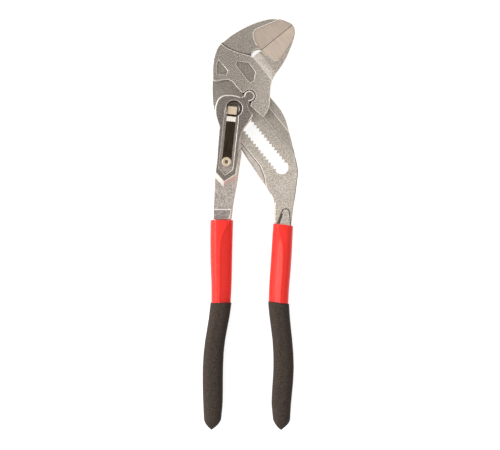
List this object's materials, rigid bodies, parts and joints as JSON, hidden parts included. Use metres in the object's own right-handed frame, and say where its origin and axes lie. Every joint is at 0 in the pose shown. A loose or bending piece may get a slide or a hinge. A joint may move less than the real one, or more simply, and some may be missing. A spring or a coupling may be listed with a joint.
{
  "type": "pliers wrench",
  "caption": "Adjustable gripping pliers with smooth parallel jaws: a lever pushes the sliding lower jaw, and a button-released bolt sets the opening in a toothed slot.",
  "frame": {"origin": "under the middle of the whole part, on the plane it lies on", "axes": "+Y along the handles towards the jaws, +Z from the rear face to the front face with the leaf spring"},
  "size_m": [0.058, 0.25, 0.0155],
  "materials": {
    "satin_steel": "satin blasted",
    "plate_steel": "satin blasted",
    "dark_steel": "dark satin",
    "spring_steel": "polished strip",
    "screw_steel": "plated",
    "red_plastic": "glossy dipped",
    "black_plastic": "fine grained"
  },
  "bodies": {
    "fixed_leg": {"fixed_jaw_leg": "satin_steel", "right_inner_grip": "red_plastic", "right_outer_grip": "black_plastic"},
    "pivot": {"pivot_bush": "satin_steel"},
    "lever": {"lever_leg": "plate_steel", "spring_screw": "screw_steel", "left_inner_grip": "red_plastic", "left_outer_grip": "black_plastic"},
    "jaw": {"sliding_jaw": "plate_steel"},
    "bolt": {"locking_bolt": "dark_steel", "push_button": "dark_steel"},
    "spring": {"leaf_spring": "spring_steel"}
  },
  "joints": [
    {"name": "adjust_slide", "type": "slide", "parent": "fixed_leg", "child": "pivot", "axis": [0.6293, -0.7771, 0], "range_m": [0, 0.03185]},
    {"name": "lever_hinge", "type": "hinge", "parent": "pivot", "child": "lever", "pos_m": [-0.00978, 0.07026, 0.0075], "axis": [0, 0, -1], "range_deg": [0, 20]},
    {"name": "jaw_slide", "type": "slide", "parent": "pivot", "child": "jaw", "axis": [0.6293, -0.7771, 0], "range_m": [0, 0.0044]},
    {"name": "button_press", "type": "slide", "parent": "pivot", "child": "bolt", "axis": [0, 0, 1], "range_m": [0, 0.0024], "stiffness_N_per_m": 2000},
    {"name": "leaf_flex", "type": "hinge", "parent": "lever", "child": "spring", "pos_m": [-0.01465, 0.03515, 0.0129], "axis": [0.9942, -0.108, 0], "range_deg": [0, 4]}
  ],
  "couplings": [
    {"joint": "jaw_slide", "follows": "lever_hinge", "m_per_rad": 0.012},
    {"joint": "leaf_flex", "follows": "button_press", "rad_per_m": 28.57}
  ]
}
